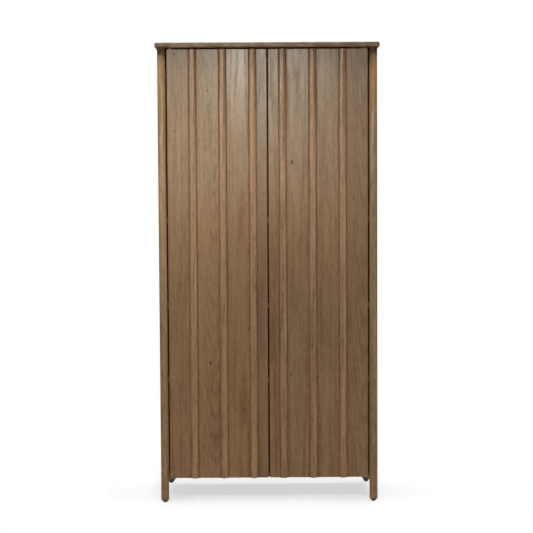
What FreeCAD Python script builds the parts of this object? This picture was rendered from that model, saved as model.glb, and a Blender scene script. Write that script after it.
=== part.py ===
import FreeCAD, Part
import math
import os
import re
import Sketcher

# Tall two-door cabinet: round corner posts, a thin top, flat doors with half-round ribs.
# X runs to the right, Y to the back and Z up; the floor is Z zero. All lengths are in millimetres.

SIZES = {
    # Posts, top and feet
    "overall_height": 2000.0,
    "post_span_x": 915.0,
    "post_span_y": 395.0,
    "post_diameter": 35.0,
    "post_chamfer": 7.0,
    "post_groove_depth": 8.0,
    "top_thickness": 20.0,
    "top_overhang": 10.0,
    "top_edge_round": 7.0,
    "top_corner_round": 14.0,
    "glide_diameter": 18.0,
    "glide_height": 5.0,
    "glide_shank_diameter": 6.0,
    "glide_shank_length": 16.0,
    # Panels and shelves
    "side_thickness": 16.0,
    "bottom_thickness": 20.0,
    "back_thickness": 8.0,
    "back_inset": 27.5,
    "back_groove_depth": 6.0,
    "shelf_thickness": 22.0,
    "shelf_end_gap": 1.5,
    "shelf_setback": 3.0,
    "shelf_back_gap": 1.0,
    "lower_shelf_z": 520.0,
    "middle_shelf_z": 849.0,
    "upper_shelf_z": 1224.0,
    # Shelf pins and their rows of holes
    "shelf_pin_diameter": 5.0,
    "shelf_pin_depth": 9.0,
    "shelf_pin_head_diameter": 8.0,
    "shelf_pin_head_length": 9.0,
    "shelf_pin_flat": 3.0,
    "shelf_pin_spread": 125.0,
    "shelf_hole_pitch": 32.0,
    # Doors and ribs
    "door_floor_gap": 105.0,
    "door_top_gap": 6.0,
    "door_side_gap": 5.0,
    "door_centre_gap": 6.0,
    "door_thickness": 20.0,
    "door_edge_round": 1.5,
    "rib_pitch": 130.0,
    "rib_width": 33.0,
    "rib_height": 14.0,
    # Pivots above and below each door
    "pivot_inset": 13.0,
    "pivot_pin_diameter": 8.0,
    "pivot_pin_reach": 16.0,
    "pivot_pin_tip": 1.0,
    "pivot_pin_head_diameter": 13.0,
    "pivot_pin_head_height": 3.0,
    "bush_diameter": 13.0,
    "bush_length": 18.0,
    "bush_flange_diameter": 18.0,
    "bush_flange_thickness": 1.5,
    "upper_plate_thickness": 2.5,
    "upper_plate_width": 18.0,
    "upper_plate_reach": 60.0,
    "lower_plate_thickness": 3.0,
    "lower_plate_width": 20.0,
    "lower_plate_reach": 78.0,
    "plate_screw_step": 22.0,
    # Push latches under the top
    "latch_offset": 60.0,
    "latch_drop": 22.0,
    "latch_width": 22.0,
    "latch_height": 34.0,
    "latch_length": 70.0,
    "latch_bore_depth": 56.0,
    "latch_ear_span": 46.0,
    "latch_ear_length": 16.0,
    "latch_ear_thickness": 3.0,
    "latch_screw_spread": 17.0,
    "plunger_diameter": 10.0,
    "plunger_length": 40.0,
    "plunger_head_diameter": 13.0,
    "plunger_head_length": 4.0,
    "plunger_travel": 4.0,
    "plunger_spare": 0.5,
    "spring_diameter": 9.0,
    "spring_wire": 0.9,
    "strike_diameter": 18.0,
    "strike_thickness": 2.4,
    "strike_gap": 0.3,
    "buffer_diameter": 10.0,
    "buffer_thickness": 5.0,
    "buffer_offset": 40.0,
    # Screws and dowels
    "screw_diameter": 3.5,
    "screw_head_diameter": 7.0,
    "screw_head_height": 2.0,
    "screw_length": 15.0,
    "dowel_diameter": 8.0,
    "dowel_length": 30.0,
    "dowel_short_end": 10.0,
    # Clearances and the overrun of cutting tools
    "fixed_clearance": 0.1,
    "running_clearance": 0.05,
    "pivot_clearance": 0.3,
    "swing_clearance": 3.0,
    "blind_clearance": 0.5,
    "cut_overrun": 2.0,
}

# Places worked out from the sizes
PLACES = {
    "post_radius": "post_diameter / 2",
    "post_x": "post_span_x / 2",
    "post_y": "post_span_y / 2",
    "top_half_x": "post_x + post_radius + top_overhang",
    "top_half_y": "post_y + post_radius + top_overhang",
    "top_under_z": "overall_height - top_thickness",
    "side_inner_x": "post_x - side_thickness / 2",
    "side_half_depth": "post_y - post_radius + post_groove_depth",
    "back_front_y": "post_y - back_inset",
    "back_rear_y": "back_front_y + back_thickness",
    "bottom_under_z": "door_floor_gap - bush_flange_thickness - pivot_clearance",
    "bottom_upper_z": "bottom_under_z + bottom_thickness",
    "bottom_middle_z": "bottom_under_z + bottom_thickness / 2",
    "door_face_y": "-post_y",
    "door_back_y": "door_face_y + door_thickness",
    "door_outer_x": "post_x - post_radius - door_side_gap",
    "door_inner_x": "door_centre_gap / 2",
    "door_top_z": "top_under_z - door_top_gap",
    "door_height": "door_top_z - door_floor_gap",
    "rib_centre_back": "(rib_width^2 / 4 - rib_height^2) / (2 * rib_height)",
    "pivot_x": "door_outer_x - pivot_inset",
    "pivot_y": "door_face_y + door_thickness / 2",
    "pivot_pin_radius": "pivot_pin_diameter / 2",
    "pivot_pin_head_radius": "pivot_pin_head_diameter / 2",
    "bush_bore_radius": "pivot_pin_radius + running_clearance",
    "bush_radius": "bush_diameter / 2",
    "bush_flange_radius": "bush_flange_diameter / 2",
    "swing_radius": "sqrt(pivot_inset^2 + door_thickness^2 / 4)",
    "carcass_front_y": "pivot_y + swing_radius + swing_clearance",
    "shelf_front_y": "carcass_front_y + shelf_setback",
    "shelf_back_y": "back_front_y - shelf_back_gap",
    "shelf_middle_y": "(carcass_front_y + back_front_y) / 2",
    "glide_radius": "glide_diameter / 2",
    "glide_shank_radius": "glide_shank_diameter / 2",
    "latch_z": "top_under_z - latch_drop",
    "plunger_front_y": "door_back_y + strike_thickness + strike_gap",
    "plunger_radius": "plunger_diameter / 2",
    "plunger_head_radius": "plunger_head_diameter / 2",
    "latch_front_y": "plunger_front_y + plunger_head_length + plunger_travel + plunger_spare",
    "latch_middle_y": "latch_front_y + latch_length / 2",
    "plunger_end_y": "plunger_front_y + plunger_head_length + plunger_length",
    "spring_run": "latch_front_y + latch_bore_depth - plunger_end_y - spring_wire",
    "screw_radius": "screw_diameter / 2",
    "screw_head_radius": "screw_head_diameter / 2",
    "dowel_radius": "dowel_diameter / 2",
    "dowel_long_end": "dowel_length - dowel_short_end",
}

SIDES = {"left": -1, "right": 1}
ENDS = {"front": -1, "rear": 1}
SHELVES = ("lower", "middle", "upper")
RIBS = {"inner": 0.5, "middle": 1.5, "outer": 2.5}
SPRING_TURNS = 7
SHELF_HOLE_STEPS = (-2, -1, 0, 1, 2)
UPPER_SCREW_STEPS = (1, 2)
LOWER_SCREW_STEPS = (2, 3)
DOWEL_DEPTH_SHARES = (-0.4, 0, 0.4)
BACK_SCREW_SHARES = (-0.4, -0.2, 0, 0.2, 0.4)
LEVEL_SHARE = 0.001

TURNS = {
    "up": FreeCAD.Rotation(),
    "down": FreeCAD.Rotation(FreeCAD.Vector(1, 0, 0), 180),
    "right": FreeCAD.Rotation(FreeCAD.Vector(0, 1, 0), 90),
    "left": FreeCAD.Rotation(FreeCAD.Vector(0, 1, 0), -90),
    "back": FreeCAD.Rotation(FreeCAD.Vector(1, 0, 0), -90),
    "front": FreeCAD.Rotation(FreeCAD.Vector(1, 0, 0), 90),
}

doc = FreeCAD.newDocument("ribbed_door_cabinet")
nodes = []


# Sheets and expressions

def formula(text):
    """Puts the name of its sheet before each alias in an expression."""
    def with_sheet(found):
        word = found.group(0)
        if word in SIZES:
            return f"Sizes.{word}"
        return f"Places.{word}" if word in PLACES else word
    return re.sub(r"[a-z][a-z0-9_]*", with_sheet, str(text))


def fill_sheet(name, cells):
    sheet = doc.addObject("Spreadsheet::Sheet", name)
    for row, (alias, text) in enumerate(cells.items(), start=1):
        sheet.set(f"A{row}", alias)
        sheet.set(f"B{row}", text)
        sheet.setAlias(f"B{row}", alias)


def bind(target, prop, text):
    target.setExpression(prop, formula(text))


def move(target, at, turn="up"):
    """Turns an object and binds its base point to three expressions."""
    target.Placement = FreeCAD.Placement(FreeCAD.Vector(), TURNS[turn])
    for axis, text in zip("xyz", at):
        bind(target, f"Placement.Base.{axis}", text)


def mirrored(sign, near, far):
    """Limits of a span that lies on one side of a middle plane."""
    return (near, far) if sign > 0 else (f"-({far})", f"-({near})")


# Shapes

def box(name, x, y, z):
    """A box between a pair of limits along each axis."""
    made = doc.addObject("Part::Box", name)
    for size, axis, (low, high) in zip(("Length", "Width", "Height"), "xyz", (x, y, z)):
        bind(made, size, f"({high}) - ({low})")
        bind(made, f"Placement.Base.{axis}", low)
    return made


def rod(name, turn, radius, length, at):
    made = doc.addObject("Part::Cylinder", name)
    bind(made, "Radius", radius)
    bind(made, "Height", length)
    move(made, at, turn)
    return made


def hole(name, turn, radius, depth, at):
    """A tool for a blind hole that starts clear of the face it enters."""
    ahead = TURNS[turn].multVec(FreeCAD.Vector(0, 0, 1))
    start = [f"({text}) - {round(step)} * cut_overrun" for text, step in zip(at, ahead)]
    return rod(name, turn, radius, f"({depth}) + cut_overrun", start)


def screw_hole(name, turn, at):
    """Tools for a countersunk hole: a clear mouth, the seat of the head and the shank's bore."""
    seat = doc.addObject("Part::Cone", f"{name}_seat")
    bind(seat, "Radius1", "screw_head_radius + fixed_clearance")
    bind(seat, "Radius2", "screw_radius + fixed_clearance")
    bind(seat, "Height", "screw_head_height")
    move(seat, at, turn)
    mouth = hole(f"{name}_mouth", turn, "screw_head_radius + fixed_clearance", "0", at)
    bore = rod(f"{name}_bore", turn, "screw_radius + fixed_clearance", "screw_length + blind_clearance", at)
    return [mouth, seat, bore]


def fuse(name, pieces):
    made = doc.addObject("Part::MultiFuse", name)
    made.Shapes = pieces
    return made


def cut(name, base, tools):
    made = doc.addObject("Part::Cut", name)
    made.Base = base
    made.Tool = tools[0] if len(tools) == 1 else fuse(f"{name}_tools", tools)
    return made


def copies(name, master, places):
    """One node of identical pieces: the master at each place."""
    shown = []
    for index, (at, turn) in enumerate(places, start=1):
        copy = doc.addObject("App::Link", f"{name}_{index}")
        copy.LinkedObject = master
        move(copy, at, turn)
        shown.append(copy)
    made = doc.addObject("Part::Compound", name)
    made.Links = shown
    return made


def node(made, label):
    made.Label = label
    nodes.append(made)


# Bodies made from sketches

def new_sketch(body, role):
    sketch = body.newObject("Sketcher::SketchObject", f"{body.Name}_sketch")
    plane = next(feature for feature in body.Origin.OriginFeatures if feature.Role == role)
    sketch.AttachmentSupport = (plane, [""])
    sketch.MapMode = "FlatFace"
    return sketch


def fix(sketch, kind, piece, end, start, text):
    """Binds one coordinate of a point in a sketch."""
    number = sketch.addConstraint(Sketcher.Constraint(kind, piece, end, start))
    name = f"{kind}_{piece}_{end}"
    sketch.renameConstraint(number, name)
    bind(sketch, f"Constraints.{name}", text)


def draw_outline(sketch, corners):
    """Joins corners, each a pair of expressions, with straight lines."""
    count = len(corners)
    turns = [2 * math.pi * index / count for index in range(count)]
    starts = [FreeCAD.Vector(math.cos(turn), math.sin(turn), 0) for turn in turns]
    for index in range(count):
        sketch.addGeometry(Part.LineSegment(starts[index], starts[(index + 1) % count]), False)
    for index in range(count):
        sketch.addConstraint(Sketcher.Constraint("Coincident", index, 2, (index + 1) % count, 1))
    for index, (across, along) in enumerate(corners):
        fix(sketch, "DistanceX", index, 1, starts[index].x, across)
        fix(sketch, "DistanceY", index, 1, starts[index].y, along)


def padded(name, corners, height):
    body = doc.addObject("PartDesign::Body", name)
    sketch = new_sketch(body, "XY_Plane")
    draw_outline(sketch, corners)
    pad = body.newObject("PartDesign::Pad", f"{name}_pad")
    pad.Profile = sketch
    bind(pad, "Length", height)
    return body


def turned(name, corners):
    """A body of revolution about its own Z axis, from corners of radius and height."""
    body = doc.addObject("PartDesign::Body", name)
    sketch = new_sketch(body, "XZ_Plane")
    draw_outline(sketch, corners)
    turn = body.newObject("PartDesign::Revolution", f"{name}_turn")
    turn.Profile = sketch
    turn.ReferenceAxis = (sketch, ["V_Axis"])
    turn.Angle = 360
    return body


def upright(edge):
    limits = edge.BoundBox
    return limits.ZLength > limits.XLength + limits.YLength


def level(edge):
    return edge.BoundBox.ZLength < LEVEL_SHARE * edge.Length


def round_edges(body, chosen, radius):
    doc.recompute()
    last = body.Tip
    edges = [f"Edge{index}" for index, edge in enumerate(last.Shape.Edges, start=1) if chosen(edge)]
    fillet = body.newObject("PartDesign::Fillet", f"{body.Name}_{chosen.__name__}")
    fillet.Base = (last, edges)
    bind(fillet, "Radius", radius)


# Top, posts and feet

def upper_plate_screws(sign):
    """Places of the upper plate's screws, counted from the pivot towards the middle."""
    return [(f"{sign} * (pivot_x - {step} * plate_screw_step)", "pivot_y") for step in UPPER_SCREW_STEPS]


def lower_plate_screws(sign):
    """Places of the lower plate's screws, counted from the pivot towards the back."""
    return [(f"{sign} * pivot_x", f"pivot_y + {step} * plate_screw_step") for step in LOWER_SCREW_STEPS]


def latch_screws(sign):
    shifts = [f"{side} * latch_screw_spread" for side in SIDES.values()]
    return [(f"{sign} * latch_offset + {shift}", "latch_middle_y") for shift in shifts]


def post_places():
    return [(f"{x} * post_x", f"{y} * post_y") for x in SIDES.values() for y in ENDS.values()]


def dowel_rows():
    """Places of a row of dowels along the depth of a side panel."""
    return [f"{share} * side_half_depth" for share in DOWEL_DEPTH_SHARES]


def make_top():
    corners = [(f"{x} * top_half_x", f"{y} * top_half_y") for x, y in ((-1, -1), (1, -1), (1, 1), (-1, 1))]
    blank = padded("top_blank", corners, "top_thickness")
    round_edges(blank, upright, "top_corner_round")
    round_edges(blank, level, "top_edge_round")
    move(blank, ("0", "0", "top_under_z"))
    tools = []
    for side, x in SIDES.items():
        for end, y in ENDS.items():
            at = (f"{x} * post_x", f"{y} * post_y", "top_under_z")
            tools.append(hole(f"top_{side}_{end}_post_socket", "up", "dowel_radius + fixed_clearance",
                              "dowel_short_end + blind_clearance", at))
        for index, y in enumerate(dowel_rows(), start=1):
            at = (f"{x} * post_x", y, "top_under_z")
            tools.append(hole(f"top_{side}_dowel_socket_{index}", "up", "dowel_radius + fixed_clearance",
                              "dowel_short_end + blind_clearance", at))
        for index, at in enumerate(upper_plate_screws(x), start=1):
            tools.append(rod(f"top_{side}_plate_screw_{index}", "up", "screw_radius + fixed_clearance",
                             "screw_length + blind_clearance", (*at, "top_under_z - upper_plate_thickness")))
        for index, at in enumerate(latch_screws(x), start=1):
            tools.append(rod(f"top_{side}_latch_screw_{index}", "up", "screw_radius + fixed_clearance",
                             "screw_length + blind_clearance", (*at, "top_under_z - latch_ear_thickness")))
    groove_x = ("-(side_inner_x + back_groove_depth)", "side_inner_x + back_groove_depth")
    groove_y = ("back_front_y - fixed_clearance", "back_rear_y + fixed_clearance")
    groove_z = ("top_under_z - cut_overrun", "top_under_z + back_groove_depth")
    tools.append(box("top_back_groove", groove_x, groove_y, groove_z))
    node(cut("top", blank, tools), "top_panel")


def make_post(end, side):
    x, y = SIDES[side], ENDS[end]
    name = f"{end}_{side}_post"
    corners = [("0", "glide_height"), ("post_radius - post_chamfer", "glide_height"),
               ("post_radius", "glide_height + post_chamfer"), ("post_radius", "top_under_z"),
               ("0", "top_under_z")]
    blank = turned(f"{name}_blank", corners)
    at = (f"{x} * post_x", f"{y} * post_y")
    move(blank, (*at, "0"))
    reach = "side_half_depth + fixed_clearance"
    groove_x = [f"{x} * post_x + {edge} * (side_thickness / 2 + fixed_clearance)" for edge in SIDES.values()]
    groove_y = mirrored(y, "post_y - post_radius - cut_overrun", reach)
    groove = box(f"{name}_groove", groove_x, groove_y, ("bottom_under_z - fixed_clearance", "top_under_z"))
    socket = hole(f"{name}_dowel_socket", "down", "dowel_radius + fixed_clearance",
                  "dowel_long_end + blind_clearance", (*at, "top_under_z"))
    shank = hole(f"{name}_glide_socket", "up", "glide_shank_radius + fixed_clearance",
                 "glide_shank_length + blind_clearance", (*at, "glide_height"))
    node(cut(name, blank, [groove, socket, shank]), name)


def make_glides():
    corners = [("0", "0"), ("glide_radius", "0"), ("glide_radius", "glide_height"),
               ("glide_shank_radius", "glide_height"),
               ("glide_shank_radius", "glide_height + glide_shank_length"),
               ("0", "glide_height + glide_shank_length")]
    master = turned("glide", corners)
    node(copies("glides", master, [((*at, "0"), "up") for at in post_places()]), "foot_glides")


# Panels and shelves

def make_side(side):
    sign = SIDES[side]
    outward = side
    inner = f"{sign} * side_inner_x"
    blank = box(f"{side}_side_blank", mirrored(sign, "side_inner_x", "side_inner_x + side_thickness"),
                ("-side_half_depth", "side_half_depth"), ("bottom_under_z", "top_under_z"))
    groove_x = mirrored(sign, "side_inner_x - cut_overrun", "side_inner_x + back_groove_depth")
    groove_y = ("back_front_y - fixed_clearance", "back_rear_y + fixed_clearance")
    groove_z = ("bottom_under_z - cut_overrun", "top_under_z + cut_overrun")
    tools = [box(f"{side}_side_groove", groove_x, groove_y, groove_z)]
    for index, y in enumerate(dowel_rows(), start=1):
        tools.append(hole(f"{side}_side_top_socket_{index}", "down", "dowel_radius + fixed_clearance",
                          "dowel_long_end + blind_clearance", (f"{sign} * post_x", y, "top_under_z")))
        tools.append(hole(f"{side}_side_bottom_socket_{index}", outward, "dowel_radius + fixed_clearance",
                          "dowel_short_end + blind_clearance", (inner, y, "bottom_middle_z")))
    for shelf in SHELVES:
        for end, y in ENDS.items():
            for index, step in enumerate(SHELF_HOLE_STEPS, start=1):
                z = f"{shelf}_shelf_z - shelf_pin_flat + {step} * shelf_hole_pitch"
                at = (inner, f"shelf_middle_y + {y} * shelf_pin_spread", z)
                tools.append(hole(f"{side}_side_{shelf}_{end}_pin_hole_{index}", outward,
                                  "shelf_pin_diameter / 2 + fixed_clearance",
                                  "shelf_pin_depth + blind_clearance", at))
    node(cut(f"{side}_side", blank, tools), f"{side}_side_panel")


def back_screw_places():
    return [(f"{share} * side_inner_x * 2", "back_rear_y", "bottom_middle_z") for share in BACK_SCREW_SHARES]


def make_bottom():
    blank = box("bottom_blank", ("-side_inner_x", "side_inner_x"), ("carcass_front_y", "back_front_y"),
                ("bottom_under_z", "bottom_upper_z"))
    tools = []
    for side, sign in SIDES.items():
        inward = {"left": "right", "right": "left"}[side]
        for index, y in enumerate(dowel_rows(), start=1):
            at = (f"{sign} * side_inner_x", y, "bottom_middle_z")
            tools.append(hole(f"bottom_{side}_dowel_socket_{index}", inward,
                              "dowel_radius + fixed_clearance", "dowel_long_end + blind_clearance", at))
        for index, at in enumerate(lower_plate_screws(sign), start=1):
            start = (*at, "bottom_under_z - lower_plate_thickness")
            tools.append(rod(f"bottom_{side}_plate_screw_{index}", "up", "screw_radius + fixed_clearance",
                             "screw_length + blind_clearance", start))
    for index, at in enumerate(back_screw_places(), start=1):
        tools.append(rod(f"bottom_back_screw_{index}", "front", "screw_radius + fixed_clearance",
                         "screw_length + blind_clearance", at))
    node(cut("bottom", blank, tools), "bottom_panel")


def make_back():
    half = "side_inner_x + back_groove_depth - blind_clearance"
    blank = box("back_blank", (f"-({half})", half), ("back_front_y", "back_rear_y"),
                ("bottom_under_z", "top_under_z + back_groove_depth - blind_clearance"))
    tools = []
    for index, at in enumerate(back_screw_places(), start=1):
        tools += screw_hole(f"back_screw_hole_{index}", "front", at)
    node(cut("back", blank, tools), "back_panel")


def make_shelf(shelf):
    half = "side_inner_x - shelf_end_gap"
    made = box(f"{shelf}_shelf", (f"-({half})", half), ("shelf_front_y", "shelf_back_y"),
               (f"{shelf}_shelf_z", f"{shelf}_shelf_z + shelf_thickness"))
    node(made, f"{shelf}_shelf")


def make_shelf_pins():
    start = ("0", "0", "0")
    shank = rod("shelf_pin_shank", "up", "shelf_pin_diameter / 2", "shelf_pin_depth", start)
    head = rod("shelf_pin_head", "down", "shelf_pin_head_diameter / 2", "shelf_pin_head_length", start)
    master = {}
    for side, sign in SIDES.items():
        above = mirrored(-sign, "shelf_pin_flat", "shelf_pin_head_diameter + shelf_pin_flat")
        across = ("-shelf_pin_head_diameter", "shelf_pin_head_diameter")
        flat = box(f"{side}_shelf_pin_flat_tool", above, across,
                   ("-shelf_pin_head_length - cut_overrun", "shelf_pin_depth + cut_overrun"))
        master[side] = cut(f"{side}_shelf_pin", fuse(f"{side}_shelf_pin_blank", [shank, head]), [flat])
    shown = []
    for side, sign in SIDES.items():
        places = []
        for shelf in SHELVES:
            for y in ENDS.values():
                at = (f"{sign} * side_inner_x", f"shelf_middle_y + {y} * shelf_pin_spread",
                      f"{shelf}_shelf_z - shelf_pin_flat")
                places.append((at, side))
        shown.append(copies(f"{side}_shelf_pins", master[side], places))
    pins = doc.addObject("Part::Compound", "shelf_pins")
    pins.Links = shown
    node(pins, "shelf_pins")


# Dowels and screws

def make_dowels():
    master = rod("dowel", "up", "dowel_radius", "dowel_length", ("0", "0", "0"))
    top_start = "top_under_z - dowel_long_end"
    posts = [((*at, top_start), "up") for at in post_places()]
    node(copies("post_dowel", master, posts), "post_dowels")
    sides = []
    bottoms = []
    for side, sign in SIDES.items():
        for y in dowel_rows():
            sides.append(((f"{sign} * post_x", y, top_start), "up"))
            start = f"{sign} * (side_inner_x - dowel_long_end)"
            bottoms.append(((start, y, "bottom_middle_z"), side))
    node(copies("side_dowel", master, sides), "side_dowels")
    node(copies("bottom_dowel", master, bottoms), "bottom_dowels")


def make_screws():
    corners = [("0", "0"), ("screw_head_radius", "0"), ("screw_radius", "screw_head_height"),
               ("screw_radius", "screw_length - screw_radius"), ("0", "screw_length")]
    master = turned("screw", corners)
    upper = []
    lower = []
    latches = []
    for sign in SIDES.values():
        upper += [((*at, "top_under_z - upper_plate_thickness"), "up") for at in upper_plate_screws(sign)]
        lower += [((*at, "bottom_under_z - lower_plate_thickness"), "up") for at in lower_plate_screws(sign)]
        latches += [((*at, "top_under_z - latch_ear_thickness"), "up") for at in latch_screws(sign)]
    node(copies("upper_pivot_screw", master, upper), "upper_pivot_screws")
    node(copies("lower_pivot_screw", master, lower), "lower_pivot_screws")
    node(copies("latch_screw", master, latches), "latch_screws")
    node(copies("back_screw", master, [(at, "front") for at in back_screw_places()]), "back_panel_screws")
    for side, sign in SIDES.items():
        at = (f"{sign} * latch_offset", "door_back_y + strike_thickness", "latch_z")
        node(copies(f"{side}_strike_screw", master, [(at, "front")]), f"{side}_strike_screw")


# Doors

def make_door(side):
    sign = SIDES[side]
    near, far = mirrored(sign, "door_inner_x", "door_outer_x")
    corners = [(near, "door_face_y"), (far, "door_face_y"), (far, "door_back_y"), (near, "door_back_y")]
    blank = padded(f"{side}_door_blank", corners, "door_height")
    round_edges(blank, upright, "door_edge_round")
    move(blank, ("0", "0", "door_floor_gap"))
    axis = (f"{sign} * pivot_x", "pivot_y")
    depth = "bush_length - bush_flange_thickness + blind_clearance"
    seat = "bush_radius + fixed_clearance"
    tools = [hole(f"{side}_door_lower_seat", "up", seat, depth, (*axis, "door_floor_gap")),
             hole(f"{side}_door_upper_seat", "down", seat, depth, (*axis, "door_top_z"))]
    screw = (f"{sign} * latch_offset", "door_back_y + strike_thickness", "latch_z")
    tools.append(rod(f"{side}_door_strike_bore", "front", "screw_radius + fixed_clearance",
                     "screw_length + blind_clearance", screw))
    node(cut(f"{side}_door", blank, tools), f"{side}_door_panel")
    for rib, steps in RIBS.items():
        make_rib(f"{side}_{rib}_rib", f"{sign * steps} * rib_pitch")


def make_rib(name, x):
    """Half-round strip: an arc closed by the chord that lies on the door's face."""
    body = doc.addObject("PartDesign::Body", name)
    sketch = new_sketch(body, "XY_Plane")
    unit = Part.Circle(FreeCAD.Vector(), FreeCAD.Vector(0, 0, 1), 1)
    sketch.addGeometry(Part.ArcOfCircle(unit, math.pi, 2 * math.pi), False)
    sketch.addGeometry(Part.LineSegment(FreeCAD.Vector(1, 0, 0), FreeCAD.Vector(-1, 0, 0)), False)
    sketch.addConstraint(Sketcher.Constraint("Coincident", 0, 2, 1, 1))
    sketch.addConstraint(Sketcher.Constraint("Coincident", 1, 2, 0, 1))
    fix(sketch, "DistanceX", 0, 3, 0, "0")
    fix(sketch, "DistanceY", 0, 3, 0, "rib_centre_back")
    fix(sketch, "DistanceX", 0, 1, -1, "-rib_width / 2")
    fix(sketch, "DistanceY", 0, 1, 0, "0")
    fix(sketch, "DistanceY", 0, 2, 0, "0")
    pad = body.newObject("PartDesign::Pad", f"{name}_pad")
    pad.Profile = sketch
    bind(pad, "Length", "door_height")
    move(body, (x, "door_face_y", "door_floor_gap"))
    node(body, name)


def make_strike(side):
    sign = SIDES[side]
    at = (f"{sign} * latch_offset", "door_back_y", "latch_z")
    disc = rod(f"{side}_strike_disc", "back", "strike_diameter / 2", "strike_thickness", at)
    head = (f"{sign} * latch_offset", "door_back_y + strike_thickness", "latch_z")
    seat = screw_hole(f"{side}_strike_hole", "front", head)
    node(cut(f"{side}_strike", disc, seat), f"{side}_strike_plate")


# Pivots

def make_bushes(side):
    sign = SIDES[side]
    corners = [("bush_bore_radius", "0"), ("bush_flange_radius", "0"),
               ("bush_flange_radius", "bush_flange_thickness"), ("bush_radius", "bush_flange_thickness"),
               ("bush_radius", "bush_length"), ("bush_bore_radius", "bush_length")]
    places = {"lower": ("door_floor_gap - bush_flange_thickness", "up"),
              "upper": ("door_top_z + bush_flange_thickness", "down")}
    for level_name, (z, turn) in places.items():
        name = f"{side}_{level_name}_bush"
        bush = turned(name, corners)
        move(bush, (f"{sign} * pivot_x", "pivot_y", z), turn)
        node(bush, name)


def make_plate(name, label, blanks, axis, z, screws):
    """A pivot plate: a bar and its round nose, bored for the pin and countersunk for the screws."""
    through = f"{z[1]} - ({z[0]}) + cut_overrun"
    tools = [hole(f"{name}_bore", "up", "pivot_pin_radius + running_clearance", through, (*axis, z[0]))]
    for index, at in enumerate(screws, start=1):
        tools += screw_hole(f"{name}_hole_{index}", "up", (*at, z[0]))
    node(cut(name, fuse(f"{name}_blank", blanks), tools), label)


def make_upper_plate(side):
    sign = SIDES[side]
    name = f"{side}_upper_plate"
    axis = (f"{sign} * pivot_x", "pivot_y")
    z = ("top_under_z - upper_plate_thickness", "top_under_z")
    half = "upper_plate_width / 2"
    bar = box(f"{name}_bar", mirrored(sign, "pivot_x - upper_plate_reach", "pivot_x"),
              (f"pivot_y - {half}", f"pivot_y + {half}"), z)
    nose = rod(f"{name}_nose", "up", half, "upper_plate_thickness", (*axis, z[0]))
    make_plate(name, f"{side}_upper_pivot_plate", [bar, nose], axis, z, upper_plate_screws(sign))


def make_lower_plate(side):
    sign = SIDES[side]
    name = f"{side}_lower_plate"
    axis = (f"{sign} * pivot_x", "pivot_y")
    z = ("bottom_under_z - lower_plate_thickness", "bottom_under_z")
    half = "lower_plate_width / 2"
    bar = box(f"{name}_bar", (f"{axis[0]} - {half}", f"{axis[0]} + {half}"),
              ("pivot_y", "pivot_y + lower_plate_reach"), z)
    nose = rod(f"{name}_nose", "up", half, "lower_plate_thickness", (*axis, z[0]))
    make_plate(name, f"{side}_lower_pivot_plate", [bar, nose], axis, z, lower_plate_screws(sign))


def make_pins(side):
    sign = SIDES[side]
    axis = (f"{sign} * pivot_x", "pivot_y")
    upper_end = "door_top_gap + pivot_pin_reach"
    upper = turned(f"{side}_upper_pin", [
        ("0", "0"), ("pivot_pin_radius", "0"), ("pivot_pin_radius", f"{upper_end} - pivot_pin_tip"),
        ("pivot_pin_radius - pivot_pin_tip", upper_end), ("0", upper_end)])
    move(upper, (*axis, "top_under_z"), "down")
    node(upper, f"{side}_upper_pivot_pin")
    head = "pivot_pin_head_height"
    lower_end = f"{head} + lower_plate_thickness + bush_flange_thickness + pivot_clearance + pivot_pin_reach"
    lower = turned(f"{side}_lower_pin", [
        ("0", "0"), ("pivot_pin_head_radius", "0"), ("pivot_pin_head_radius", head),
        ("pivot_pin_radius", head), ("pivot_pin_radius", f"{lower_end} - pivot_pin_tip"),
        ("pivot_pin_radius - pivot_pin_tip", lower_end), ("0", lower_end)])
    move(lower, (*axis, f"bottom_under_z - lower_plate_thickness - {head}"))
    node(lower, f"{side}_lower_pivot_pin")


# Push latches

def make_latch(side):
    sign = SIDES[side]
    x = f"{sign} * latch_offset"
    core = box(f"{side}_latch_core", (f"{x} - latch_width / 2", f"{x} + latch_width / 2"),
               ("latch_front_y", "latch_front_y + latch_length"),
               ("top_under_z - latch_height", "top_under_z"))
    ears = box(f"{side}_latch_ears", (f"{x} - latch_ear_span / 2", f"{x} + latch_ear_span / 2"),
               ("latch_middle_y - latch_ear_length / 2", "latch_middle_y + latch_ear_length / 2"),
               ("top_under_z - latch_ear_thickness", "top_under_z"))
    tools = [hole(f"{side}_latch_bore", "back", "plunger_radius + running_clearance", "latch_bore_depth",
                  (x, "latch_front_y", "latch_z"))]
    for index, at in enumerate(latch_screws(sign), start=1):
        tools += screw_hole(f"{side}_latch_hole_{index}", "up", (*at, "top_under_z - latch_ear_thickness"))
    blank = fuse(f"{side}_latch_blank", [core, ears])
    node(cut(f"{side}_latch", blank, tools), f"{side}_latch_housing")
    end = "plunger_head_length + plunger_length"
    plunger = turned(f"{side}_plunger", [
        ("0", "0"), ("plunger_head_radius", "0"), ("plunger_head_radius", "plunger_head_length"),
        ("plunger_radius", "plunger_head_length"), ("plunger_radius", end), ("0", end)])
    move(plunger, (x, "plunger_front_y", "latch_z"), "back")
    node(plunger, f"{side}_latch_plunger")


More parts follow.
